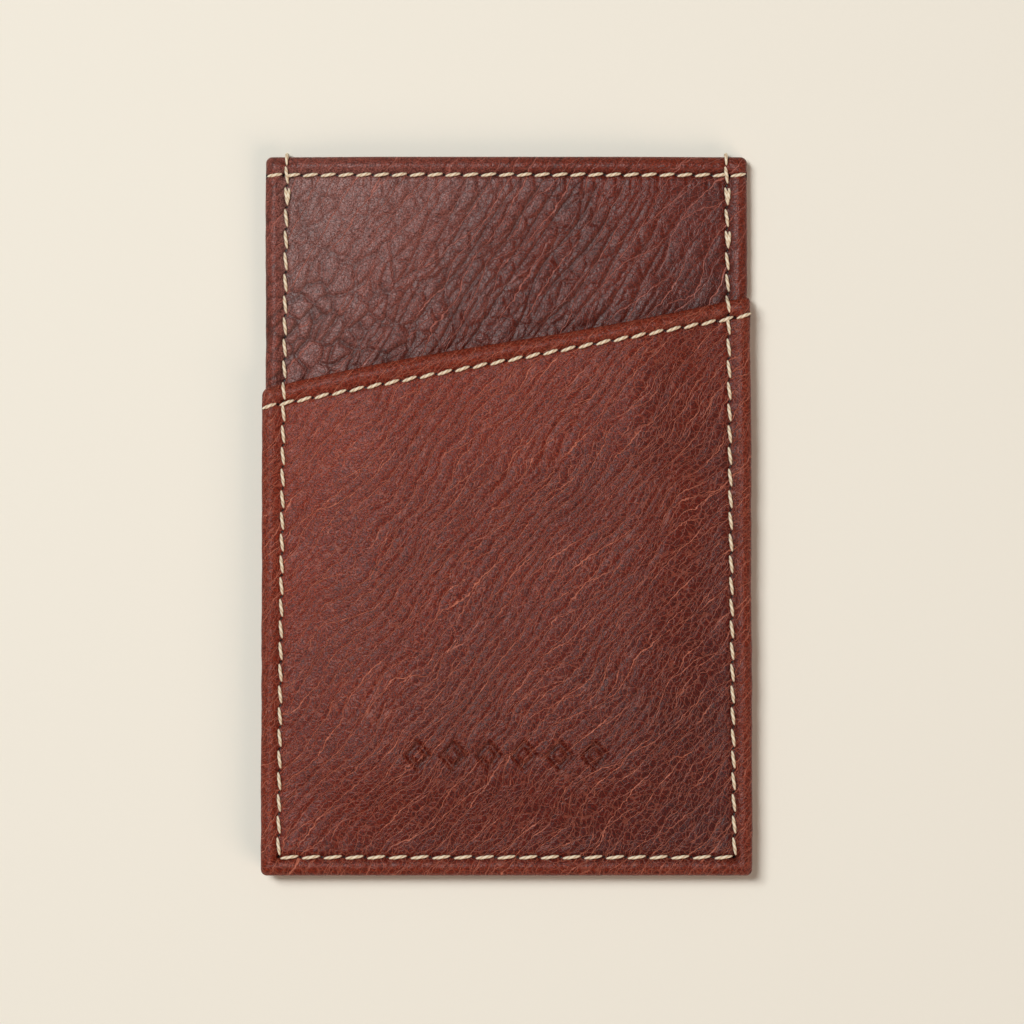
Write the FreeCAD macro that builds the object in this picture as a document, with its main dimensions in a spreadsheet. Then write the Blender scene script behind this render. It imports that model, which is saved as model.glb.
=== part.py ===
"""Minimalist wallet: three leather panels with turned edges, lined, sewn together round three sides.

Millimetres. The wallet lies on its back: +X to its right, +Y towards its open top, +Z out of its front.
The origin is under its middle. From the back up, the stack is back panel, divider panel, front pocket.
The space behind the divider is the middle pocket, open at the top, and the space behind the front pocket
is open at its slanted mouth. Each holds one 54 mm wide card, so the two upper panels are crowned.
"""

import FreeCAD, Part
import Sketcher
import math
import os

DRIVING = {
    "overall_length": 101.8,
    "top_width": 68.2,
    "bottom_width": 68.8,
    "pocket_overhang": 0.4,  # how far the front pocket stands past the divider on each side
    "mouth_height": 24.6,  # middle of the front pocket's mouth, above the wallet's middle
    "mouth_angle": 10.9,  # degrees that the mouth rises from left to right
    "leather": 0.8,
    "turn_in": 0.45,  # leather skived thin where it is folded under
    "lining": 0.2,  # the lining, and the tape that lies beside it
    "turn_in_depth": 3.5,  # how far the folded leather reaches in from the edge
    "tape_end": 3.0,  # where the tape ends and the lining starts, in from a mouth
    "card_gap": 0.8,  # how far a crown lifts a panel off the one behind it
    "crown_ramp": 2.8,  # width of the slope between the flat rim and the crown
    "corner_radius": 0.8,
    "edge_roll": 0.55,
    "seam_inset": 2.65,  # from the edge to the perimeter seam
    "seam_top_gap": 1.0,  # from the top edge to the first stitch hole
    "seam_pitch": 3.08,
    "hem_inset": 2.6,  # from a mouth to its hem seam
    "hem_pitch": 2.57,
    "thread": 0.5,
}

FRONT = 1
BACK = -1
LEAST_FOLD = 10  # mm; a straight edge shorter than this is not one of a panel's folds

SHOULDER = 0.28  # share of a stitch's length in which it climbs out of its hole
NOTCH = 0.3  # share of a stitch's rise at which it leaves its hole
STEP_ROOM = 1.2  # mm between the pocket's edge and the nearest hole of the stitch that climbs it
STEP_START, STEP_END = 0.05, 0.9  # mm past the pocket's edge over which that stitch comes down
HEM_END = 0.6  # mm from a panel's side edge to the last hole of its hem
CROSSING_GAP = 1.1  # thread thicknesses between a hem's stitches and the side seam
BURIED = 0.6  # share of the turned leather's thickness that a thread inside a pocket sinks into it

doc = FreeCAD.newDocument("Wallet")


# ---- Driving dimensions ----

sheet = doc.addObject("Spreadsheet::Sheet", "Sizes")
for row, (alias, value) in enumerate(DRIVING.items(), start=1):
    sheet.set(f"A{row}", alias)
    sheet.set(f"B{row}", str(value))
    sheet.setAlias(f"B{row}", alias)
doc.recompute()


def value_of(expression):
    return float(sheet.evalExpression(expression))


STACK = "(Sizes.leather + Sizes.lining + Sizes.turn_in)"  # one panel with its edge turned in
BASE_LINE = "(-Sizes.overall_length / 2)"
TOP_LINE = "(Sizes.overall_length / 2)"

# Each panel: its lowest height, its crown, its overhang at the sides, and its mouth line,
# which is y = mouth + x tan(angle)
PANELS = {
    "back": dict(z="0", crown="0", overhang="0", mouth=TOP_LINE, angle="0"),
    "divider": dict(z=STACK, crown="Sizes.card_gap", overhang="0", mouth=TOP_LINE, angle="0"),
    "pocket": dict(
        z=f"(2 * {STACK})",
        crown="(2 * Sizes.card_gap)",
        overhang="Sizes.pocket_overhang",
        mouth="Sizes.mouth_height",
        angle="Sizes.mouth_angle",
    ),
}


# ---- Outlines: four-sided, tapering a little towards the top ----


def half_width(y):
    taper = "(Sizes.bottom_width - Sizes.top_width) / 2 / Sizes.overall_length"
    return f"(Sizes.bottom_width / 2 - {taper} * ({y} + Sizes.overall_length / 2))"


def outline(panel, side, bottom, top, follow_overhang=True):
    """Four corners as expressions, inset at the side, bottom and top. With no bottom it is a tape's strip."""
    wide = panel["overhang"] if follow_overhang else "0"
    corners = []
    for direction in (-1, 1):
        x = f"({direction} * ({half_width(BASE_LINE)} + {wide} - {side}))"
        corners.append((x, f"({BASE_LINE} + {bottom})"))
    for direction in (1, -1):
        x = f"({direction} * ({half_width(panel['mouth'])} + {wide} - {side}))"
        corners.append((x, f"({panel['mouth']} + {x} * tan({panel['angle']}) - {top})"))
    if bottom is None:
        (right, right_y), (left, left_y) = corners[2:]
        strip = f"- Sizes.tape_end + {top}"
        corners[:2] = [(left, f"({left_y} {strip})"), (right, f"({right_y} {strip})")]
    return corners


def outline_sketch(body, name, corners, height):
    """A closed four-sided sketch at a height, each corner held from the origin by two bound distances."""
    sketch = body.newObject("Sketcher::SketchObject", name)
    plane = next(f for f in body.Origin.OriginFeatures if f.Role == "XY_Plane")
    sketch.AttachmentSupport = [(plane, "")]
    sketch.MapMode = "FlatFace"
    sketch.setExpression("AttachmentOffset.Base.z", height)
    points = [FreeCAD.Vector(value_of(x), value_of(y), 0) for x, y in corners]
    count = len(points)
    for i in range(count):
        sketch.addGeometry(Part.LineSegment(points[i], points[(i + 1) % count]), False)
    for i in range(count):
        sketch.addConstraint(Sketcher.Constraint("Coincident", i, 2, (i + 1) % count, 1))
    for i, (x, y) in enumerate(corners):
        for kind, place, expression in (("DistanceX", points[i].x, x), ("DistanceY", points[i].y, y)):
            index = sketch.addConstraint(Sketcher.Constraint(kind, -1, 1, i, 1, place))
            sketch.setExpression(f"Constraints[{index}]", expression)
    return sketch


# ---- Sheets: every piece of leather, lining and tape is a flat layer that follows its panel's crown ----


def crown_loft(body, kind, name, panel, low, side, top):
    """The crown under or over a layer: a frustum that runs out through the mouth.

    side is "strip" for a tape, whose crown starts where the tape does, and "sides" for anything longer.
    """
    reach = "Sizes.turn_in_depth"
    flat = f"({reach} + Sizes.crown_ramp)"
    start = None if side == "strip" else reach
    end = None if side == "strip" else flat
    foot = outline(panel, reach, start, top, follow_overhang=False)
    head = outline(panel, flat, end, top, follow_overhang=False)
    loft = body.newObject(kind, name)
    loft.Profile = outline_sketch(body, f"{name}_foot", foot, low)
    loft.Sections = [outline_sketch(body, f"{name}_head", head, f"({low} + {panel['crown']})")]
    loft.Ruled = True
    return loft


def layer(name, panel, low, high, side, bottom, top):
    """A body between two heights above the panel's own, inside the given insets, lifted by the crown."""
    body = doc.addObject("PartDesign::Body", name)
    low, high = f"({panel['z']} + {low})", f"({panel['z']} + {high})"
    pad = body.newObject("PartDesign::Pad", f"{name}_pad")
    pad.Profile = outline_sketch(body, f"{name}_outline", outline(panel, side, bottom, top), low)
    pad.setExpression("Length", f"{high} - {low}")
    if panel["crown"] != "0":
        kept = "strip" if bottom is None else "sides"
        crown_loft(body, "PartDesign::AdditiveLoft", f"{name}_crown", panel, high, kept, top)
        crown_loft(body, "PartDesign::SubtractiveLoft", f"{name}_hollow", panel, low, kept, top)
    return body


def fillet_edges(body, name, radius, wanted):
    """Adds a fillet of a bound radius to the body, on the edges whose bounding box passes the test."""
    doc.recompute()
    base = body.Tip
    edges = [f"Edge{i}" for i, edge in enumerate(base.Shape.Edges, start=1) if wanted(edge.BoundBox)]
    fillet = body.newObject("PartDesign::Fillet", name)
    fillet.Base = (base, edges)
    fillet.setExpression("Radius", radius)
    doc.recompute()


def roll_edges(body):
    """Rounds the two bottom corners of a panel blank, then the folds along its sides and bottom."""
    doc.recompute()
    whole = body.Shape.BoundBox

    def is_bottom_corner(box):
        return box.XLength < 0.01 and box.YMax < whole.YMin + 0.01

    def is_fold(box):
        at_side = min(abs(box.XMin), abs(box.XMax)) > whole.XMax - 1
        at_bottom = box.YMax < whole.YMin + 0.01
        return box.ZLength < 0.01 and (at_side or at_bottom) and max(box.XLength, box.YLength) > LEAST_FOLD

    fillet_edges(body, f"{body.Name}_corners", "Sizes.corner_radius", is_bottom_corner)
    fillet_edges(body, f"{body.Name}_roll", "Sizes.edge_roll", is_fold)


# ---- Threads: each is a comb, with an arched stitch from hole to hole and a leg down each hole ----


def height_on(profile, along):
    """Height of the surface polyline [(along, height), ...] at a place along it."""
    for (s0, z0), (s1, z1) in zip(profile, profile[1:]):
        if s0 <= along <= s1:
            return z0 + (z1 - z0) * (along - s0) / (s1 - s0)
    return profile[0][1] if along < profile[0][0] else profile[-1][1]


def comb(profile, holes, leg_end, outward, rise):
    """A comb in its own plane, x along and z up. leg_end(hole) is the height that a hole's leg reaches."""
    half = value_of("Sizes.thread") / 2
    shoulder = SHOULDER * (holes[1] - holes[0])
    notch = NOTCH * rise
    crest = []
    for hole, following in zip(holes, holes[1:]):
        bends = [s for s, _ in profile if hole + shoulder < s < following - shoulder]
        crest.append((hole, notch))
        crest += [(s, rise) for s in [hole + shoulder, *bends, following - shoulder]]
    crest.append((holes[-1], notch))
    crest[0] = (holes[0] - half, notch)
    crest[-1] = (holes[-1] + half, notch)
    path = [(s, height_on(profile, s) + outward * up) for s, up in crest]
    for i in range(len(holes) - 1, -1, -1):
        for s in (holes[i] + half, holes[i] - half):
            ends = [(s, height_on(profile, s)), (s, leg_end(holes[i]))]
            path += ends if s > holes[i] else ends[::-1]
        if i:
            bends = [s for s, _ in profile if holes[i - 1] + half < s < holes[i] - half]
            path += [(s, height_on(profile, s)) for s in reversed(bends)]
    corners = [FreeCAD.Vector(s, -half, z) for s, z in path]
    face = Part.Face(Part.makePolygon([*corners, corners[0]]))
    return face.extrude(FreeCAD.Vector(0, 2 * half, 0))


def place_run(shape, start, heading):
    """Turns a comb's own X to a heading in degrees and moves its start to a place in plan."""
    shape.Placement = FreeCAD.Placement(
        FreeCAD.Vector(start[0], start[1], 0), FreeCAD.Rotation(FreeCAD.Vector(0, 0, 1), heading)
    )
    return shape


def even_holes(start, end, pitch):
    count = max(1, round((end - start) / pitch))
    return [start + (end - start) * i / count for i in range(count + 1)]


def thread_feature(name, shapes):
    """One thread: runs that share a corner hole are fused, and those parted by a seam are left apart."""
    feature = doc.addObject("Part::Feature", name)
    fused = shapes[0].multiFuse(shapes[1:]) if len(shapes) > 1 else shapes[0]
    feature.Shape = fused.removeSplitter()
    return feature


def perimeter_thread(name, outward):
    """The lockstitch seam up both sides and along the bottom. Its two threads lock behind the back panel."""
    inset = value_of("Sizes.seam_inset")
    pitch = value_of("Sizes.seam_pitch")
    lock = value_of(STACK)
    front_divider, front_pocket = value_of(f"2 * {STACK}"), value_of(f"3 * {STACK}")
    low, high = value_of(BASE_LINE), value_of(TOP_LINE)
    foot = value_of(half_width(BASE_LINE)) - inset
    head = value_of(half_width(TOP_LINE)) - inset
    start_y = low + inset
    lean = math.degrees(math.atan2(foot - head, high - start_y))
    rise = value_of("Sizes.thread")
    slope = math.tan(math.radians(value_of("Sizes.mouth_angle")))

    runs = []
    for side in (-1, 1):
        edge = value_of("Sizes.mouth_height") + side * foot * slope - start_y
        end = high - start_y - value_of("Sizes.seam_top_gap")
        holes = even_holes(0, edge - STEP_ROOM, pitch) + even_holes(edge + STEP_ROOM, end, pitch)
        if outward == FRONT:
            profile = [(-1, front_pocket), (edge + STEP_START, front_pocket)]
            profile += [(edge + STEP_END, front_divider), (end + 1, front_divider)]
        else:
            profile = [(-1, rise), (end + 1, rise)]
        run = comb(profile, holes, lambda hole: lock, outward, rise)
        runs.append(place_run(run, (side * foot, start_y), 90 + side * lean))
    flat = front_pocket if outward == FRONT else rise
    profile = [(-1, flat), (2 * foot + 1, flat)]
    bottom = comb(profile, even_holes(0, 2 * foot, pitch), lambda hole: lock, outward, rise)
    runs.append(place_run(bottom, (-foot, start_y), 0))
    return thread_feature(name, runs)


def hem_thread(name, panel, outward, faces_front=True):
    """One thread of a hem seam: across between the side seams, and a stitch on each rim past them."""
    angle = math.radians(value_of(panel["angle"]))
    stretch = 1 / math.cos(angle)
    edge = value_of(f"{half_width(panel['mouth'])} + {panel['overhang']}") - HEM_END
    seam = value_of(f"{half_width(panel['mouth'])} - Sizes.seam_inset")
    clear = CROSSING_GAP * value_of("Sizes.thread")
    low, top = value_of(panel["z"]), value_of(f"{panel['z']} + {STACK}")
    crown = value_of(panel["crown"])
    foot = value_of(f"{half_width(panel['mouth'])} - Sizes.turn_in_depth")
    head = foot - value_of("Sizes.crown_ramp")
    leather_side = outward == (FRONT if faces_front else BACK)
    sunk = BURIED * value_of("Sizes.turn_in")
    if outward == BACK and leather_side:
        sunk = value_of("Sizes.thread")
    rise = value_of("Sizes.thread") if leather_side else sunk
    proud = leather_side and outward == FRONT
    surface = (top if outward == FRONT else low) - (0 if proud else outward * sunk)
    lock = value_of("Sizes.turn_in + Sizes.lining / 2")
    lock = low + lock if faces_front else top - lock

    lifts = [(-edge - 1, 0), (-foot, 0), (-head, crown), (head, crown), (foot, 0), (edge + 1, 0)]
    profile = [(x * stretch, surface + lift) for x, lift in lifts]
    lift_at = [(x * stretch, lift) for x, lift in lifts]
    spans = [(-edge, -seam - clear), (-seam + clear, seam - clear), (seam + clear, edge)]
    middle_y = value_of(panel["mouth"]) - value_of("Sizes.hem_inset") * stretch
    runs = []
    for start, end in spans:
        holes = even_holes(start * stretch, end * stretch, value_of("Sizes.hem_pitch"))
        run = comb(profile, holes, lambda hole: lock + height_on(lift_at, hole), outward, rise)
        runs.append(place_run(run, (0, middle_y), math.degrees(angle)))
    return thread_feature(name, runs)


# ---- Panels: a leather blank less its lining and tape, the opening in its turned edge, and the holes ----


def cut(name, base, tools):
    """base with all the tools taken out of it in one boolean."""
    gathered = doc.addObject("Part::Compound", f"{name}_cutters")
    gathered.Links = tools
    result = doc.addObject("Part::Cut", name)
    result.Base, result.Tool = base, gathered
    return result


def panel_pieces(key, leather_name, threads):
    """The leather, lining and tape of one panel, each pierced by the threads that pass through it."""
    panel = PANELS[key]
    leather, turn_in, lining = "Sizes.leather", "Sizes.turn_in", "Sizes.lining"
    if key == "back":  # its smooth side faces down
        slot, window = (leather, f"({leather} + {lining})"), (f"({leather} + {lining})", STACK)
    else:
        slot, window = (turn_in, f"({turn_in} + {lining})"), ("0", turn_in)
    depth, tape_end = "Sizes.turn_in_depth", "Sizes.tape_end"

    blank = layer(f"{key}_blank", panel, "0", STACK, "0", "0", "0")
    roll_edges(blank)
    lining_sheet = layer(f"{key}_lining_sheet", panel, *slot, leather, leather, tape_end)
    tape_strip = layer(f"{key}_tape_strip", panel, *slot, leather, None, leather)
    opening = layer(f"{key}_opening", panel, *window, depth, depth, depth)
    doc.recompute()
    return [
        cut(leather_name, blank, [lining_sheet, tape_strip, opening, *threads]),
        cut(f"{key}_lining", lining_sheet, threads),
        cut(f"{key}_edge_tape", tape_strip, threads),
    ]


perimeter = [
    perimeter_thread("perimeter_needle_thread", FRONT),
    perimeter_thread("perimeter_bobbin_thread", BACK),
]
divider_hem = [
    hem_thread("divider_hem_needle_thread", PANELS["divider"], FRONT),
    hem_thread("divider_hem_bobbin_thread", PANELS["divider"], BACK),
]
pocket_hem = [
    hem_thread("pocket_hem_needle_thread", PANELS["pocket"], FRONT),
    hem_thread("pocket_hem_bobbin_thread", PANELS["pocket"], BACK),
]
back_hem = [
    hem_thread("back_hem_needle_thread", PANELS["back"], BACK, faces_front=False),
    hem_thread("back_hem_bobbin_thread", PANELS["back"], FRONT, faces_front=False),
]

pieces = perimeter + divider_hem + pocket_hem + back_hem
for key, leather_name, hem in (
    ("back", "back_panel", back_hem),
    ("divider", "divider_panel", divider_hem),
    ("pocket", "front_pocket", pocket_hem),
):
    pieces += panel_pieces(key, leather_name, perimeter + hem)
doc.recompute()


# ---- Check and write ----

for item in doc.Objects:
    if {"Invalid", "Error"} & set(item.State):
        raise RuntimeError(f"{item.Name} did not compute: {item.State}")
for piece in pieces:
    if piece.Shape.isNull() or not piece.Shape.isValid() or not piece.Shape.Solids:
        raise RuntimeError(f"{piece.Label} has no valid solid")

os.makedirs("parts", exist_ok=True)
for piece in pieces:
    piece.Shape.exportStep(f"parts/{piece.Label}.step")
    box = piece.Shape.BoundBox
    low = f"{box.XMin:.2f} {box.YMin:.2f} {box.ZMin:.2f}"
    high = f"{box.XMax:.2f} {box.YMax:.2f} {box.ZMax:.2f}"
    print(f"{piece.Label}: {len(piece.Shape.Solids)} solids, {piece.Shape.Volume:.1f} mm3, {low} to {high}")
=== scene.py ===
"""Minimalist wallet in pebbled red-brown leather, with turned edges, cream thread and a slanted pocket."""

import math

import bmesh
import bpy
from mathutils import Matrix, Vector, noise


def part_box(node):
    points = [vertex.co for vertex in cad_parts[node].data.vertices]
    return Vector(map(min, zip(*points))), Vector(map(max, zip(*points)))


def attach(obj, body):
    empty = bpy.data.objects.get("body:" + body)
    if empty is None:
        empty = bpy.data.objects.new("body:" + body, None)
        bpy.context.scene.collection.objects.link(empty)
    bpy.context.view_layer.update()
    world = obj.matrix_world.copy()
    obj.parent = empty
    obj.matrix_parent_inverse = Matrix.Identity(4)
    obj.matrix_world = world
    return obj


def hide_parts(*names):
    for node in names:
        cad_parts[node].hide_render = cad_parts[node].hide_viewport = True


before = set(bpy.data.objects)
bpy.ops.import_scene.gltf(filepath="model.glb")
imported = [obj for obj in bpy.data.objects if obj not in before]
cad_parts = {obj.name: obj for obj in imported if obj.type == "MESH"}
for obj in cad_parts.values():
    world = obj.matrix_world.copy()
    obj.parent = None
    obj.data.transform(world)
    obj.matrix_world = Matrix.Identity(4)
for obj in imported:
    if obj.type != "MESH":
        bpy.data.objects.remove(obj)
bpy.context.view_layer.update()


# ---- Back panel ----
# The back of the wallet: one piece of pebbled leather, skived thin along its edges, which are turned in
# and glued. Its top edge is the far lip of the middle pocket and has a hem seam of its own.

MM = 0.001
OVERALL_LENGTH = 101.8 * MM
LEATHER = 0.8 * MM
TURN_IN = 0.45 * MM
LINING = 0.2 * MM
STACK = LEATHER + LINING + TURN_IN
TURN_IN_DEPTH = 3.5 * MM
ROLL = 0.7 * MM
ROLL_RUN = 1.25 * MM
SEAM_INSET = 2.65 * MM
HEM_INSET = 2.6 * MM
SEAM_PITCH = 3.08 * MM
HEM_PITCH = 2.57 * MM
RIM = 3.2 * MM
CROWN_RUN = 14 * MM
CORNER = 0.9 * MM
TAPER = 0.3 * MM  # how much narrower each side is at the top
MOUTH_WAVE = 0.4 * MM
MOUTH_WAVE_LENGTH = 75 * MM
GROOVE = 0.55 * MM  # half the width of a seam's valley
HOLE = 0.24 * MM
BUMP = 0.05 * MM


def smooth(t):
    """0 below 0, 1 above 1 and an even curve between."""
    t = min(1.0, max(0.0, t))
    return t * t * (3 - 2 * t)


class Seam:
    """A straight line of stitch holes. It pulls the leather down into a valley, with a pit at each hole."""

    def __init__(self, start, end, pitch, valley=0.2 * MM, pit=0.3 * MM, pucker=0.07 * MM):
        self.start, self.end = Vector(start), Vector(end)
        self.heading = (self.end - self.start).normalized()
        self.side = Vector((-self.heading.y, self.heading.x))
        self.length = (self.end - self.start).length
        self.count = max(1, round(self.length / pitch))
        self.step = self.length / self.count
        self.valley, self.pit, self.pucker = valley, pit, pucker

    def hole(self, i):
        return self.start + self.heading * (i * self.step)

    def pull(self, x, y):
        """How far the seam lowers the leather at a place, and how much painted shade its hole lays there."""
        offset = Vector((x, y)) - self.start
        along, across = offset.dot(self.heading), offset.dot(self.side)
        if abs(across) > 4 * MM or not -2 * MM < along < self.length + 2 * MM:
            return 0.0, 0.0
        fade = smooth((along + MM) / MM) * smooth((self.length + MM - along) / MM)
        near = math.exp(-((across / GROOVE) ** 2))
        from_hole = along - round(along / self.step) * self.step
        pit = math.exp(-(from_hole**2 + across**2) / HOLE**2)
        drift = 2.5 * noise.noise((along / MM * 0.4, across / MM * 0.2, 3.1))
        fold = math.cos(math.tau * along / self.step + drift) * (1 - near)
        fold *= math.exp(-abs(across) / (1.1 * MM))
        return fade * (self.valley * near + self.pit * pit + self.pucker * fold), fade * pit


class Panel:
    """Where one panel of leather lies: its outline, its faces, its crown and the seams that pull it down."""

    def __init__(self, node, crown=0.0, slope=0.0, facing=1):
        low, high = (Vector(corner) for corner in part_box(node))
        self.right, self.bottom = high.x, low.y
        self.under, self.over = low.z, low.z + STACK
        self.crown, self.slope, self.facing = crown, slope, facing
        self.middle_mouth = high.y - slope * high.x
        self.tall = self.middle_mouth - self.bottom
        self.seams = []

    def half_width(self, y):
        return self.right - TAPER * (y - self.bottom) / OVERALL_LENGTH

    def mouth(self, x):
        """Where the mouth's edge is. A slanted one sags and swells a little on its way across."""
        wave = MOUTH_WAVE * math.sin(math.tau * x / MOUTH_WAVE_LENGTH) if self.slope else 0.0
        return self.middle_mouth + self.slope * x - wave

    def lift(self, x, y):
        """The crown: nothing at the rims, full over the middle, and running out through the mouth."""
        side = smooth((self.half_width(y) - RIM - abs(x)) / CROWN_RUN)
        foot = smooth((y - self.bottom - RIM) / CROWN_RUN)
        return self.crown * side * foot

    def place(self, near_left, near_foot):
        """Plan position and distance to the nearest edge, from nominal ones to the left edge and the foot."""
        across, upward = near_left / (2 * self.right), near_foot / self.tall
        half = self.half_width(self.bottom + near_foot)
        x = (2 * across - 1) * half
        height = self.mouth(x) - self.bottom
        y = self.bottom + upward * height
        side, end = min(across, 1 - across) * 2 * half, min(upward, 1 - upward) * height
        if side < CORNER and end < CORNER:
            a, b = CORNER - side, CORNER - end
            shrink = 1 - max(a, b) / math.hypot(a, b)
            x -= math.copysign(a * shrink, x)
            y += b * shrink * (1 if upward < 0.5 else -1)
        wobble = noise.noise((0.0, y / MM * 0.06, math.copysign(7.0, x)))
        wobble += 0.35 * noise.noise((0.0, y / MM * 0.35, math.copysign(2.0, x)))
        x += math.copysign(0.2 * MM, x) * wobble * smooth(abs(x) / half)
        return x, y, min(side, end)

    def face(self, x, y, edge):
        """Height of the outer face above its flat, and how much painted shade a hole lays on it."""
        height, dark = self.lift(x, y), 0.0
        rim = math.sin(math.pi * min(1.0, edge / SEAM_INSET)) ** 2
        beside = self.half_width(y) - abs(x) < SEAM_INSET
        crowding = (0.5 * x / MM, 2.2 * y / MM, 7.0) if beside else (2.2 * x / MM, 0.5 * y / MM, 2.0)
        height += rim * MM * (0.28 + 0.07 * noise.noise(crowding))
        for seam in self.seams:
            pulled, hole = seam.pull(x, y)
            height -= pulled
            dark = max(dark, hole)
        if edge < ROLL_RUN:
            height -= ROLL * (1 - math.sqrt(1 - (1 - edge / ROLL_RUN) ** 2))
        return height, dark

    def outer(self, x, y):
        """Height in the frame of the outer face, where a thread lies on it."""
        return self.over + self.lift(x, y) if self.facing > 0 else self.under

    def inner(self, x, y, rise=0.0):
        """Height in the frame of the turned-in side, rise measured from it into the leather."""
        return self.under + self.lift(x, y) + rise if self.facing > 0 else self.over - rise


def spaced(length, fine, coarse, fine_to=RIM):
    """Distances from 0 to length, close together near both ends and further apart between."""
    count = round(fine_to / fine)
    edge = [fine_to * i / count for i in range(count)]
    middle = round((length - 2 * fine_to) / coarse)
    inner = [fine_to + (length - 2 * fine_to) * i / middle for i in range(middle + 1)]
    return edge + inner + [length - place for place in reversed(edge)]


def turned(x, y, angle):
    """A place in millimetres, along and across a direction."""
    return (
        (x * math.cos(angle) + y * math.sin(angle)) / MM,
        (y * math.cos(angle) - x * math.sin(angle)) / MM,
    )


def cells(x, y, size, angle, seed):
    """1 on the creases round irregular cells of leather size mm across, falling to 0 inside them."""
    along, across = turned(x, y, angle)
    ripple = 0.3 * noise.noise((along * 0.7, across * 0.7, seed + 9))
    nearest = noise.voronoi(((along + ripple) / size / 1.5, (across + ripple) / size, seed))[0]
    return (1 - min(1.0, (nearest[1] - nearest[0]) / 0.5)) ** 4


def folds(x, y, spacing, angle, seed):
    """1 along wavy, nearly parallel folds spacing mm apart, falling to 0 between them."""
    along, across = turned(x, y, angle)
    drift = 1.1 * noise.noise((along * 0.07, across * 0.2, seed))
    drift += 0.07 * noise.noise((along * 0.6, across, seed))
    phase = across / spacing + drift
    return (1 - min(1.0, abs(phase - round(phase)) / 0.36)) ** 4


def finish_mesh(name, form):
    """Makes the shape an object whose place is in its mesh, smooth all over, riding on the wallet."""
    mesh = bpy.data.meshes.new(name)
    form.to_mesh(mesh)
    form.free()
    mesh.shade_smooth()
    piece = bpy.data.objects.new(name, mesh)
    bpy.context.collection.objects.link(piece)
    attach(piece, "root")
    return piece


def fold_under(form, panel, loop):
    """Carries the edge round its fold, in to the end of the turned leather and up the step there."""
    turns = (0.05, 0.5, 0.9, 1.2, 1.57)
    profile = [(ROLL * (1 - math.cos(turn)), ROLL * (1 - math.sin(turn))) for turn in turns]
    profile += [(TURN_IN_DEPTH, 0.0), (TURN_IN_DEPTH + 0.1 * MM, TURN_IN + LINING)]
    last = 0.0
    for inset, rise in profile:
        made = bmesh.ops.extrude_edge_only(form, edges=loop)["geom"]
        loop = [item for item in made if isinstance(item, bmesh.types.BMEdge) and item.is_boundary]
        for vert in (item for item in made if isinstance(item, bmesh.types.BMVert)):
            half = (panel.mouth(vert.co.x) - panel.bottom) / 2
            from_middle = (vert.co.y - panel.bottom - half) * (half - inset) / (half - last)
            x = vert.co.x * (panel.right - inset) / (panel.right - last)
            y = (panel.bottom + panel.mouth(x)) / 2 + from_middle
            vert.co = x, y, panel.inner(x, y, rise)
        last = inset
    return loop


def grid_over(form, panel, columns, rows, inset, rise):
    """A coarse sheet inside the edges, following the panel's crown at a depth into its leather."""
    made = bmesh.ops.create_grid(form, x_segments=columns, y_segments=rows, size=1)["verts"]
    for vert in made:
        x = vert.co.x * (panel.right - inset)
        y = panel.bottom + inset + (vert.co.y + 1) / 2 * (panel.mouth(x) - panel.bottom - 2 * inset)
        vert.co = x, y, panel.inner(x, y, rise)
    return made


def build_leather(name, panel, grain, fine, coarse_across, coarse_up, covered_to=None):
    """A closed panel: a dense outer face, rolled edges, and the turned-in leather behind.

    grain(x, y) gives the height of the leather's own wrinkles and how much painted shade darkens their
    creases. Another panel covers the face from its foot up to covered_to, so its rows are far apart there.
    """
    columns, rows = spaced(2 * panel.right, fine, coarse_across), spaced(panel.tall, fine, coarse_up)
    if covered_to is not None:
        covered = [row for row in rows if RIM < row < covered_to - panel.bottom]
        spare = set(covered) - set(covered[:: round(2 * MM / coarse_up)])
        rows = [row for row in rows if row not in spare]
    form = bmesh.new()
    crease = form.verts.layers.float.new("crease")
    hole = form.verts.layers.float.new("hole")
    rim = form.verts.layers.float.new("rim")
    bmesh.ops.create_grid(form, x_segments=len(columns) - 1, y_segments=len(rows) - 1, size=1)
    for vert in form.verts:
        near_left = columns[round((vert.co.x + 1) / 2 * (len(columns) - 1))]
        near_foot = rows[round((vert.co.y + 1) / 2 * (len(rows) - 1))]
        x, y, edge = panel.place(near_left, near_foot)
        height, dark = panel.face(x, y, edge)
        wrinkle, line = grain(x, y)
        height += wrinkle * (0.2 + 0.8 * smooth((edge - 2 * MM) / (2 * MM))) * (1 - dark)
        z = panel.over + height if panel.facing > 0 else panel.under - min(0.0, height)
        vert.co = x, y, z
        # crease holds how much painted shade darkens the folds, and hole how much painted shade darkens the
        # stitch holes.
        vert[crease], vert[hole], vert[rim] = line, dark, smooth(1.3 - edge / (2.4 * MM))
    loop = fold_under(form, panel, [edge for edge in form.edges if edge.is_boundary])
    inset = TURN_IN_DEPTH + 0.8 * MM
    inside = set(grid_over(form, panel, 28, 36, inset, TURN_IN + LINING))
    loop += [edge for edge in form.edges if edge.is_boundary and edge.verts[0] in inside]
    bmesh.ops.bridge_loops(form, edges=loop)
    bmesh.ops.recalc_face_normals(form, faces=form.faces)
    return finish_mesh(name, form)


def colour(code):
    """An sRGB hex code as the linear colour a shader takes."""
    channels = [int(code[i : i + 2], 16) / 255 for i in (1, 3, 5)]
    return [c / 12.92 if c <= 0.04045 else ((c + 0.055) / 1.055) ** 2.4 for c in channels] + [1.0]


def add(tree, kind, settings=None, **links):
    """Adds a node with its settings, which are properties or inputs, and its links from other nodes."""
    node = tree.nodes.new(kind)
    for key, value in (settings or {}).items():
        if isinstance(key, str) and hasattr(node, key):
            setattr(node, key, value)
        else:
            node.inputs[key].default_value = value
    for key, source in links.items():
        name = int(key[1:]) if key[0] == "_" else key.replace("_", " ")
        tree.links.new(source, node.inputs[name])
    return node


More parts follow.
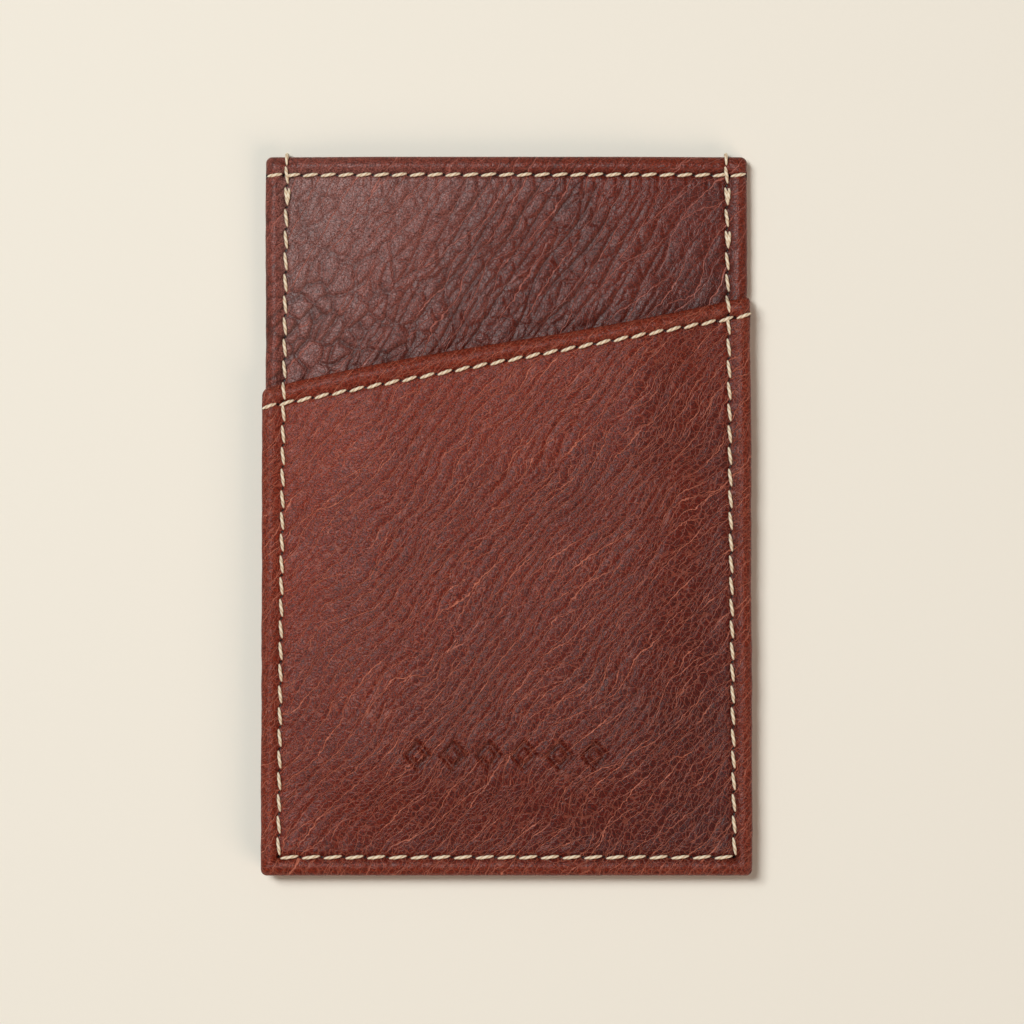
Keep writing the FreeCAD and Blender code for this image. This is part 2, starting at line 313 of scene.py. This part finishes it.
def new_material(name):
    """An empty node material with its shader, whose other sockets are set by the caller."""
    material = bpy.data.materials.new(name)
    material.use_nodes = True
    return material, material.node_tree, material.node_tree.nodes["Principled BSDF"]


def ramp(tree, source, low, high, at_low=0.0, at_high=1.0):
    """An even curve from one value to another between two readings of the source."""
    settings = {"interpolation_type": "SMOOTHSTEP", "From Min": low, "From Max": high}
    settings |= {"To Min": at_low, "To Max": at_high}
    return add(tree, "ShaderNodeMapRange", settings, Value=source).outputs[0]


def mix(tree, share, start, end, blend="MIX"):
    """One colour laid over another. start is an output, end is a hex code and share is an output."""
    settings = {"data_type": "RGBA", "blend_type": blend, 7: colour(end)}
    return add(tree, "ShaderNodeMix", settings, Factor=share, _6=start).outputs[2]


def crease_lane(tree, place, angle, spacing, stretch, waviness):
    """Wavy, nearly parallel creases spacing mm apart: 0 on a crease and 1 midway, and their strength."""
    facing = add(tree, "ShaderNodeMapping", {"Rotation": (0, 0, -math.radians(angle))}, Vector=place)
    scale = (1 / spacing / stretch, 1 / spacing, 1 / spacing)
    stretched = {"Location": (angle, 0, 0), "Scale": scale}
    lane = add(tree, "ShaderNodeMapping", stretched, Vector=facing.outputs[0])
    bands = {"bands_direction": "Y", "wave_profile": "TRI", "Scale": math.tau / 20}
    bands |= {"Distortion": waviness, "Detail": 3.0, "Detail Scale": 1.1, "Detail Roughness": 0.6}
    wave = add(tree, "ShaderNodeTexWave", bands, Vector=lane.outputs[0])
    patches = add(tree, "ShaderNodeTexNoise", {"Scale": 0.8, "Detail": 2.0}, Vector=lane.outputs[0])
    return wave.outputs["Fac"], ramp(tree, patches.outputs[0], 0.36, 0.6, 0.25, 1.0)


def leather_material(name, dyes, lanes, netted, painted_sheen, pebbled, roughness, shine):
    """Aniline-dyed full-grain cowhide with a soft wax finish: deep red-brown, broken by long fine creases.

    dyes are the body, its deeper clouds, the creases and the lighter tone of the rims. Each lane of creases
    is an angle, a spacing, a stretch, a width and a strength. The first lane also swells the leather between
    its lines.
    netted is how strongly a fine net of lines shows between them, and pebbled how deep the grain is.
    Away from the top left corner, where the light falls from, the colour is darkened as painted shade, and
    towards that corner a greyish painted sheen is laid over it.
    """
    body, cloudy, crease_dye, rim_tone = dyes
    material, tree, shader = new_material(name)
    spot = add(tree, "ShaderNodeTexCoord").outputs["Object"]
    plain = add(tree, "ShaderNodeMapping", {"Scale": (1000, 1000, 1000)}, Vector=spot).outputs[0]
    swirl = add(tree, "ShaderNodeTexNoise", {"Scale": 0.07, "Detail": 2.0}, Vector=plain).outputs["Color"]
    ripple = add(tree, "ShaderNodeTexNoise", {"Scale": 1.1, "Detail": 2.0}, Vector=plain).outputs["Color"]
    shift = {"operation": "MULTIPLY_ADD"}
    bent = add(tree, "ShaderNodeVectorMath", shift | {1: (7.0, 7.0, 7.0)}, _0=swirl, _2=plain).outputs[0]
    place = add(tree, "ShaderNodeVectorMath", shift | {1: (0.6, 0.6, 0.6)}, _0=ripple, _2=bent).outputs[0]

    lines, swelling = None, None
    for angle, spacing, stretch, width, strength in lanes:
        wave, patch = crease_lane(tree, place, angle, spacing, stretch, 4.5)
        line = ramp(tree, wave, 0.0, width, strength, 0.0)
        line = add(tree, "ShaderNodeMath", {"operation": "MULTIPLY"}, _0=line, _1=patch).outputs[0]
        if lines is None:
            lines, swelling = line, ramp(tree, wave, 0.0, 0.8)
        else:
            lines = add(tree, "ShaderNodeMath", {"operation": "MAXIMUM"}, _0=lines, _1=line).outputs[0]
    net = add(tree, "ShaderNodeTexVoronoi", {"feature": "DISTANCE_TO_EDGE", "Scale": 1.15}, Vector=place)
    net_line = ramp(tree, net.outputs["Distance"], 0.0, 0.12, netted, 0.0)
    lines = add(tree, "ShaderNodeMath", {"operation": "MAXIMUM"}, _0=lines, _1=net_line).outputs[0]
    pebble = add(tree, "ShaderNodeTexVoronoi", {"feature": "F1", "Scale": 3.4}, Vector=place)
    pebble = pebble.outputs["Distance"]
    speckle = {"Scale": 5.0, "Detail": 3.0, "Roughness": 0.7}
    pores = add(tree, "ShaderNodeTexNoise", speckle, Vector=plain).outputs[0]
    clouds = add(tree, "ShaderNodeTexNoise", {"Scale": 0.07, "Detail": 4.0}, Vector=plain).outputs[0]
    rim = add(tree, "ShaderNodeAttribute", {"attribute_name": "rim"}).outputs["Fac"]
    hole = add(tree, "ShaderNodeAttribute", {"attribute_name": "hole"}).outputs["Fac"]
    valley = add(tree, "ShaderNodeAttribute", {"attribute_name": "crease"}).outputs["Fac"]

    dyed = {"data_type": "RGBA", 6: colour(cloudy), 7: colour(body)}
    tone = add(tree, "ShaderNodeMix", dyed, Factor=ramp(tree, clouds, 0.35, 0.65)).outputs[2]
    # Painted shade: the colour is multiplied darker from the top left corner, where the light falls from,
    # towards the foot and the right.
    downward = {"operation": "DOT_PRODUCT", 1: (0.016, -0.012, 0.0)}
    away_from_light = add(tree, "ShaderNodeVectorMath", downward, _0=plain).outputs["Value"]
    tone = mix(tree, ramp(tree, away_from_light, -0.8, 1.0), tone, "#A67C68", "MULTIPLY")
    # Painted sheen: a greyish veil laid over the colour towards the top left corner, facing the light.
    tone = mix(tree, ramp(tree, away_from_light, -1.1, -0.3, painted_sheen, 0.0), tone, "#A8827C")
    # A lighter, more orange tone along the rims.
    tone = mix(tree, ramp(tree, rim, 0.0, 1.0, 0.0, 0.7), tone, rim_tone)
    tone = mix(tree, ramp(tree, pores, 0.42, 0.6, 0.0, 0.9), tone, "#86685E", "MULTIPLY")
    tone = mix(tree, ramp(tree, pebble, 0.3, 0.75, 0.0, 0.5), tone, "#B09C94", "MULTIPLY")
    tone = mix(tree, ramp(tree, lines, 0.0, 1.0, 0.0, 0.85), tone, crease_dye)
    # Painted shade: near-black laid into the deep folds and the pressed ornament, from the crease attribute.
    tone = mix(tree, ramp(tree, valley, 0.15, 0.9, 0.0, 0.6), tone, "#2E0F08")
    # Painted shade: near-black in the stitch holes.
    tone = mix(tree, ramp(tree, hole, 0.25, 0.7), tone, "#120806")

    pebbles_in = {"operation": "MULTIPLY_ADD", 1: -0.8}
    grain = add(tree, "ShaderNodeMath", pebbles_in, _0=pebble, _2=pores).outputs[0]
    fine = add(tree, "ShaderNodeBump", {"Strength": 0.7, "Distance": pebbled}, Height=grain).outputs[0]
    creases_in = {"operation": "MULTIPLY_ADD", 1: -1.6}
    height = add(tree, "ShaderNodeMath", creases_in, _0=lines, _2=swelling).outputs[0]
    relief = {"Strength": 1.0, "Distance": BUMP}
    bump = add(tree, "ShaderNodeBump", relief, Height=height, Normal=fine).outputs[0]
    gloss = ramp(tree, pores, 0.3, 0.7, roughness - 0.05, roughness + 0.1)
    tree.links.new(tone, shader.inputs["Base Color"])
    tree.links.new(gloss, shader.inputs["Roughness"])
    tree.links.new(bump, shader.inputs["Normal"])
    shader.inputs["Specular IOR Level"].default_value = shine
    return material


back = Panel("back_panel", facing=-1)
seam_x = back.right - 2.15 * MM
seam_foot = back.bottom + SEAM_INSET
side_lean = 1.15 * MM
back_top = back.mouth(0)


def perimeter_seams(top, depth):
    """The seam up both sides, from the foot to a height, and along the bottom."""
    lean = side_lean * (top - seam_foot) / OVERALL_LENGTH
    return [
        Seam((-seam_x, seam_foot), (-seam_x + lean, top), SEAM_PITCH, **depth),
        Seam((seam_x, seam_foot), (seam_x - lean, top), SEAM_PITCH, **depth),
        Seam((-seam_x, seam_foot), (seam_x, seam_foot), SEAM_PITCH, **depth),
    ]


BACK_STITCHES = dict(valley=0.42 * MM, pit=0.2 * MM, pucker=0.04 * MM)
back.seams = perimeter_seams(back_top - MM, BACK_STITCHES)
hem_y = back_top - HEM_INSET
back.seams += [Seam((-seam_x, hem_y), (seam_x, hem_y), HEM_PITCH, **BACK_STITCHES)]


def back_grain(x, y):
    line = folds(x, y, 2.2, math.radians(52), 21.0)
    # The second value is the painted shade laid in the folds.
    return -0.1 * MM * line, 0.4 * line


back_leather = build_leather("back_panel_leather", back, back_grain, 0.16 * MM, 0.36 * MM, 0.36 * MM)
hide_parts("back_panel")
back_dyes = ("#7E2A13", "#6E2310", "#AC6850", "#82301A")
back_lanes = ((52, 2.2, 5, 0.1, 1.0), (36, 2.6, 4, 0.09, 0.8), (60, 1.0, 4, 0.18, 0.5))
back_leather.data.materials.append(
    leather_material("aniline_cowhide_back", back_dyes, back_lanes, 0.4, 0.0, BUMP, 0.45, 0.35)
)


# ---- Divider panel ----
# The middle panel, whose upper part shows above the front pocket. It is cut from a looser part of the hide,
# so it is deeply wrinkled, and its top edge is turned in and sewn down as a hem.

FACE_STITCHES = dict(valley=0.22 * MM, pit=0.34 * MM, pucker=0.08 * MM)
pocket_slope = math.tan(math.radians(10.9))
divider = Panel("divider_panel", crown=0.8 * MM)
divider.seams = perimeter_seams(back_top - MM, FACE_STITCHES)
hem_reach = divider.half_width(hem_y)
divider.seams += [Seam((-hem_reach, hem_y), (hem_reach, hem_y), HEM_PITCH, **FACE_STITCHES)]


def divider_grain(x, y):
    """Deep cells at the left, lengthening into slanting folds at the right, pulled straight by the hem."""
    pleated = smooth(1 - (hem_y - y) / (4 * MM)) * smooth((hem_y - y) / (0.6 * MM))
    rightward = smooth((x + 30 * MM) / (26 * MM))
    net = cells(x, y, 2.3, math.radians(55), 8.0) * (1 - 0.4 * rightward)
    line = max(folds(x, y, 2.5, math.radians(56), 3.0) * rightward, net)
    pleat = folds(x, y, 1.7, math.radians(88), 6.0) * pleated
    strength = 0.8 + 0.5 * noise.noise((x / MM * 0.06, y / MM * 0.06, 5.0)) - 0.35 * smooth(x / (30 * MM))
    swell = noise.noise((x / MM * 0.2, y / MM * 0.2, 1.0))
    # The second value is the painted shade laid in the folds and cells.
    return (0.12 * swell - 0.42 * strength * line * (1 - pleated) - 0.22 * pleat) * MM, line * strength


divider_leather = build_leather(
    "divider_panel_leather", divider, divider_grain, 0.14 * MM, 0.22 * MM, 0.22 * MM, covered_to=13 * MM
)
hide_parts("divider_panel")
divider_dyes = ("#782610", "#661E0C", "#A45E50", "#8A341C")
divider_lanes = ((57, 2.5, 4, 0.1, 1.0), (40, 3.2, 3, 0.07, 0.7), (62, 1.3, 4, 0.12, 0.3))
divider_leather.data.materials.append(
    leather_material(
        "aniline_cowhide_loose_grain", divider_dyes, divider_lanes, 0.3, 0.55, 0.7 * BUMP, 0.4, 0.36
    )
)


# ---- Front pocket ----
# The outer pocket, cut from firm smooth hide. Its slanted mouth is turned in and sewn down, and its
# sides and bottom stand a little past the divider. A row of plain lozenges is pressed into it near the foot.

pocket = Panel("front_pocket", crown=1.6 * MM, slope=pocket_slope)
hem_drop = HEM_INSET / math.cos(math.atan(pocket_slope))
hem_left = Vector((-pocket.right, pocket.mouth(-pocket.right) - hem_drop))
hem_right = Vector((pocket.right, pocket.mouth(pocket.right) - hem_drop))
pocket.seams = perimeter_seams(back_top - MM, FACE_STITCHES)
pocket.seams += [Seam(hem_left, hem_right, HEM_PITCH, **FACE_STITCHES)]


def ornament(x, y):
    """1 on the pressed ornament: a row of six plain lozenge outlines, each 4.2 mm by 4.8 mm."""
    pitch = 5 * MM
    middle = (max(-3, min(2, math.floor(x / pitch))) + 0.5) * pitch
    reach = abs(x - middle) / (2.1 * MM) + abs(y + 33.8 * MM) / (2.4 * MM)
    return smooth((0.3 - abs(reach - 0.7)) / 0.14)


def pocket_grain(x, y):
    angle = math.radians(52 - 30 * smooth(-x / (30 * MM)) * smooth(y / (20 * MM)))
    line = folds(x, y, 2.1, angle, 13.0)
    patch = smooth(0.5 + 1.5 * noise.noise((x / MM * 0.08, y / MM * 0.08, 4.0)))
    swell = noise.noise((x / MM * 0.06, y / MM * 0.06, 11.0))
    pressed = ornament(x, y)
    height = 0.1 * swell - 0.12 * patch * line * (1 - pressed) - 0.5 * pressed
    # The second value is the painted shade laid in the creases and the pressed lozenges.
    return height * MM, max(0.3 * line * patch, 0.5 * pressed)


pocket_leather = build_leather(
    "front_pocket_leather", pocket, pocket_grain, 0.16 * MM, 0.27 * MM, 0.27 * MM
)
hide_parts("front_pocket")
pocket_dyes = ("#8E2E14", "#802812", "#BE6E56", "#8C341C")
pocket_lanes = ((52, 1.8, 5, 0.09, 1.0), (37, 2.3, 4, 0.07, 0.9), (60, 0.9, 4, 0.16, 0.6))
pocket_leather.data.materials.append(
    leather_material("aniline_cowhide_firm", pocket_dyes, pocket_lanes, 0.35, 0.08, BUMP, 0.4, 0.28)
)


# ---- Linings and edge tapes ----
# Behind each panel is a thin woven lining, and along each mouth a strip of non-woven tape that stops
# the hem stretching. Both are glued to the leather before its edges are turned in over them.


def backing(name, panel, inset, below_mouth, spacing, strip=None):
    """A thin closed sheet just behind the leather, down from the mouth to the foot or for a strip's width."""
    form = bmesh.new()
    width = panel.right - inset
    rows = 2 if strip else round((panel.tall - inset) / spacing)
    bmesh.ops.create_grid(form, x_segments=round(2 * width / spacing), y_segments=rows, size=1)
    for vert in form.verts:
        x = vert.co.x * width
        high = panel.mouth(x) - below_mouth
        low = high - strip if strip else panel.bottom + inset
        y = low + (vert.co.y + 1) / 2 * (high - low)
        vert.co = x, y, panel.inner(x, y, TURN_IN)
    bmesh.ops.solidify(form, geom=form.faces[:], thickness=-LINING if panel.facing > 0 else LINING)
    bmesh.ops.recalc_face_normals(form, faces=form.faces)
    return finish_mesh(name, form)


def woven_material(name, code, dark, thread_width):
    """Thin matt cloth, its threads crossing as a tiny checker. The bonded tape takes a finer, fainter one."""
    # Real threads are finer than thread_width, which is drawn coarser so that it shows.
    material, tree, shader = new_material(name)
    spot = add(tree, "ShaderNodeTexCoord").outputs["Object"]
    turns = math.tau / (2 * thread_width)
    axes = add(tree, "ShaderNodeSeparateXYZ", Vector=spot)
    threads = []
    for axis in (0, 1):
        scaled = add(tree, "ShaderNodeMath", {"operation": "MULTIPLY", 1: turns}, _0=axes.outputs[axis])
        threads.append(add(tree, "ShaderNodeMath", {"operation": "SINE"}, _0=scaled.outputs[0]).outputs[0])
    weave = add(tree, "ShaderNodeMath", {"operation": "MULTIPLY"}, _0=threads[0], _1=threads[1])
    shade = add(tree, "ShaderNodeMapRange", {"From Min": -1.0}, Value=weave.outputs[0])
    dyed = {"data_type": "RGBA", 6: colour(dark), 7: colour(code)}
    tone = add(tree, "ShaderNodeMix", dyed, Factor=shade.outputs[0])
    bump = add(tree, "ShaderNodeBump", {"Strength": 0.6, "Distance": 0.05 * MM}, Height=weave.outputs[0])
    tree.links.new(tone.outputs[2], shader.inputs["Base Color"])
    tree.links.new(bump.outputs[0], shader.inputs["Normal"])
    shader.inputs["Roughness"].default_value = 0.85
    shader.inputs["Sheen Weight"].default_value = 0.3
    return material


lining_cloth = woven_material("plain_woven_cotton_lining", "#5E4636", "#3A2A20", 0.3 * MM)
tape_cloth = woven_material("bonded_reinforcing_tape", "#D8D0BC", "#B9AE98", 0.2 * MM)
LINING_INSET = TURN_IN_DEPTH + 0.15 * MM
TAPE_INSET = 0.9 * MM
for key, panel, leather in (
    ("back", back, back_leather),
    ("divider", divider, divider_leather),
    ("pocket", pocket, pocket_leather),
):
    lining = backing(f"{key}_lining_cloth", panel, LINING_INSET, LINING_INSET, 2 * MM)
    lining.data.materials.append(lining_cloth)
    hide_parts(f"{key}_lining")
    tape = backing(f"{key}_edge_tape_strip", panel, TAPE_INSET, TAPE_INSET, MM, strip=2.1 * MM)
    tape.data.materials.append(tape_cloth)
    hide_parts(f"{key}_edge_tape")


# ---- Threads ----
# Cream two-ply waxed polyester thread. A lockstitch has a needle thread on the front and a bobbin thread
# behind. Each stitch lies a little aslant between two holes and dives into both.

THREAD_RADIUS = 0.27 * MM
SLANT = 0.2 * MM
FRONT_SINK, FRONT_RISE = 0.12 * MM, 0.2 * MM
BACK_SINK, BACK_RISE = 0.4 * MM, 0.08 * MM


def lay_strand(form, points, side, radius, ply, turns=3.0):
    """A twisted strand through the points: a ball drawn out along them, with two plies winding round it."""
    rings = len(points) - 1
    made = bmesh.ops.create_uvsphere(form, u_segments=8, v_segments=rings, radius=1)["verts"]
    for vert in made:
        share = math.acos(max(-1.0, min(1.0, vert.co.z))) / math.pi
        ring = round(share * rings)
        before, after = points[max(0, ring - 1)], points[min(rings, ring + 1)]
        normal = side.cross((after - before).normalized())
        angle = math.atan2(vert.co.y, vert.co.x)
        groove = math.cos(2 * (angle - turns * math.tau * share / 2))
        girth = radius * math.sin(math.pi * share) ** 0.35 * (0.92 + 0.12 * groove)
        vert.co = points[ring] + (side * math.cos(angle) + normal * math.sin(angle)) * girth
        vert[ply] = 0.5 + 0.5 * groove


def lay_stitch(form, start, end, height_at, outward, ply, slant=SLANT, rise=FRONT_RISE):
    """One stitch on a face: out of one hole, over the leather and into the next."""
    heading = (end - start).normalized()
    side = Vector((-heading.y, heading.x, 0))
    points = []
    for k in range(9):
        t = k / 8
        flat = start.lerp(end, 0.04 + 0.92 * t)
        out = 1 - abs(2 * t - 1) ** 4
        spot = Vector((flat.x, flat.y, 0)) + side * slant * (2 * t - 1)
        spot.z = height_at(spot.x, spot.y) + outward * (rise * out - 0.45 * MM * (1 - out))
        points.append(spot)
    lay_strand(form, points, side, THREAD_RADIUS, ply)


def thread_material(name, code, groove):
    """Waxed two-ply polyester: pale cream, with painted shade where the plies meet, and a faint waxy gloss.
    """
    material, tree, shader = new_material(name)
    spot = add(tree, "ShaderNodeTexCoord").outputs["Object"]
    fibres = add(tree, "ShaderNodeTexNoise", {"Scale": 9000.0, "Detail": 2.0}, Vector=spot)
    ply = add(tree, "ShaderNodeAttribute", {"attribute_name": "ply"})
    depth = add(tree, "ShaderNodeMapRange", {"From Max": 0.55}, Value=ply.outputs["Fac"])
    # Painted shade: the groove colour darkens the thread where its plies meet.
    dyed = {"data_type": "RGBA", 6: colour(groove), 7: colour(code)}
    tone = add(tree, "ShaderNodeMix", dyed, Factor=depth.outputs[0])
    bump = add(tree, "ShaderNodeBump", {"Strength": 0.4, "Distance": 0.04 * MM}, Height=fibres.outputs[0])
    tree.links.new(tone.outputs[2], shader.inputs["Base Color"])
    tree.links.new(bump.outputs[0], shader.inputs["Normal"])
    shader.inputs["Roughness"].default_value = 0.55
    return material


cream_thread = thread_material("waxed_polyester_thread", "#EADCC0", "#B58F68")


def thread_piece(name, node, lay):
    """Makes one thread from its stitches and stands it for its CAD node."""
    form = bmesh.new()
    ply = form.verts.layers.float.new("ply")
    lay(form, ply)
    piece = finish_mesh(name, form)
    piece.data.materials.append(cream_thread)
    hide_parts(node)
    return piece


def front_height(x, y):
    """The front of the wallet under a thread: the pocket below its mouth and the divider above it."""
    step = smooth((pocket.mouth(x) + 0.5 * MM - y) / MM)
    return divider.outer(x, y) * (1 - step) + pocket.outer(x, y) * step - FRONT_SINK


def run_stitches(form, ply, seam, height_at, outward, **style):
    for i in range(seam.count):
        lay_stitch(form, seam.hole(i), seam.hole(i + 1), height_at, outward, ply, **style)


def wrap_over_top(form, ply, x):
    """The last stitch of a side seam, carried over the top edge and down behind the wallet."""
    top, front = divider.mouth(x), divider.over
    path = [(-1.4, front - 0.4 * MM), (-1.0, front + 0.15 * MM), (-0.4, front + 0.2 * MM)]
    path += [(0.1, front - 0.05 * MM), (0.35, front - 0.6 * MM), (0.4, front / 2), (0.35, 0.6 * MM)]
    path += [(0.0, THREAD_RADIUS), (-1.0, THREAD_RADIUS)]
    lay_strand(form, [Vector((x, top + y * MM, z)) for y, z in path], Vector((-1, 0, 0)), THREAD_RADIUS, ply)


def perimeter_front(form, ply):
    """The seam as it shows on the front. At the top of each side it is sewn back over itself to lock it."""
    for seam in pocket.seams[:3]:
        run_stitches(form, ply, seam, front_height, 1)
    for seam, doubled in ((pocket.seams[0], 3), (pocket.seams[1], 4)):
        shift = Vector((0.3 * MM, 0))
        for i in range(seam.count - doubled, seam.count):
            start, end = seam.hole(i + 0.12) + shift, seam.hole(i + 0.95) + shift * (-1) ** i
            lay_stitch(form, start, end, front_height, 1, ply, slant=-0.1 * MM, rise=0.3 * MM)
        wrap_over_top(form, ply, seam.end.x)


def on_face(panel, sink):
    """The height of a thread sunk a little into a panel's outer face."""
    return lambda x, y: panel.outer(x, y) - panel.facing * sink


def inside(panel, sink):
    """The height of a thread sunk into a panel's turned-in side."""
    return lambda x, y: panel.inner(x, y) + panel.facing * sink


def perimeter_back(form, ply):
    for seam in back.seams[:3]:
        run_stitches(form, ply, seam, on_face(back, BACK_SINK), -1, rise=BACK_RISE)


def sew_hem(key, panel, sink, rise):
    """Both threads of the hem at a panel's mouth: its fourth seam, after the perimeter's three."""

    def needle(form, ply):
        run_stitches(form, ply, panel.seams[3], on_face(panel, sink), panel.facing, rise=rise)

    def bobbin(form, ply):
        run_stitches(form, ply, panel.seams[3], inside(panel, 0.3 * MM), -panel.facing, rise=0.0)

    thread_piece(f"{key}_hem_needle_stitches", f"{key}_hem_needle_thread", needle)
    thread_piece(f"{key}_hem_bobbin_stitches", f"{key}_hem_bobbin_thread", bobbin)


thread_piece("perimeter_needle_stitches", "perimeter_needle_thread", perimeter_front)
thread_piece("perimeter_bobbin_stitches", "perimeter_bobbin_thread", perimeter_back)
sew_hem("divider", divider, FRONT_SINK, FRONT_RISE)
sew_hem("pocket", pocket, FRONT_SINK, FRONT_RISE)
sew_hem("back", back, BACK_SINK, BACK_RISE)


# ---- Stage ----
# A pale plain table and a camera straight above. A large soft key light stands at the upper left, with
# a small one for the sheen on the same side and a weak warm fill at the lower right.

table = bmesh.new()
bmesh.ops.create_grid(table, x_segments=1, y_segments=1, size=1.5)
bmesh.ops.translate(table, verts=table.verts, vec=(0, 0, -0.02 * MM))
table_mesh = bpy.data.meshes.new("table_top")
table.to_mesh(table_mesh)
table.free()
table_top = bpy.data.objects.new("table_top", table_mesh)
bpy.context.collection.objects.link(table_top)
paper, paper_tree, paper_shader = new_material("matt_card_table")
paper_shader.inputs["Base Color"].default_value = colour("#EBE9DD")
paper_shader.inputs["Roughness"].default_value = 0.9
table_mesh.materials.append(paper)


def soft_light(name, place, size, watts, code="#FFFFFF"):
    """A square soft light that faces the wallet."""
    light = bpy.data.lights.new(name, "AREA")
    light.size, light.energy, light.color = size, watts, colour(code)[:3]
    holder = bpy.data.objects.new(name, light)
    holder.location = place
    holder.rotation_euler = (-Vector(place)).to_track_quat("-Z", "Y").to_euler()
    bpy.context.collection.objects.link(holder)


soft_light("key_softbox", (-1.6, 1.2, 3.0), 0.95, 59.0)
soft_light("sheen_softbox", (-0.17, 0.12, 0.64), 0.12, 1.6)
soft_light("fill_softbox", (1.6, -1.5, 1.4), 1.6, 25.0, "#FFDCC8")
world = bpy.data.worlds.new("studio")
world.use_nodes = True
world.node_tree.nodes["Background"].inputs["Color"].default_value = colour("#FFF8F0")
world.node_tree.nodes["Background"].inputs["Strength"].default_value = 0.14
bpy.context.scene.world = world
bpy.context.scene.view_settings.view_transform = "Standard"

CAMERA_HEIGHT = 0.6
VIEW_WIDTH = 144.6 * MM
camera = bpy.data.cameras.new("camera")
camera.sensor_width = 36
camera.lens = 36 * (CAMERA_HEIGHT - 5 * MM) / VIEW_WIDTH
camera_holder = bpy.data.objects.new("camera", camera)
camera_holder.location = (0.78 * MM, 0.56 * MM, CAMERA_HEIGHT)
bpy.context.collection.objects.link(camera_holder)
bpy.context.scene.camera = camera_holder
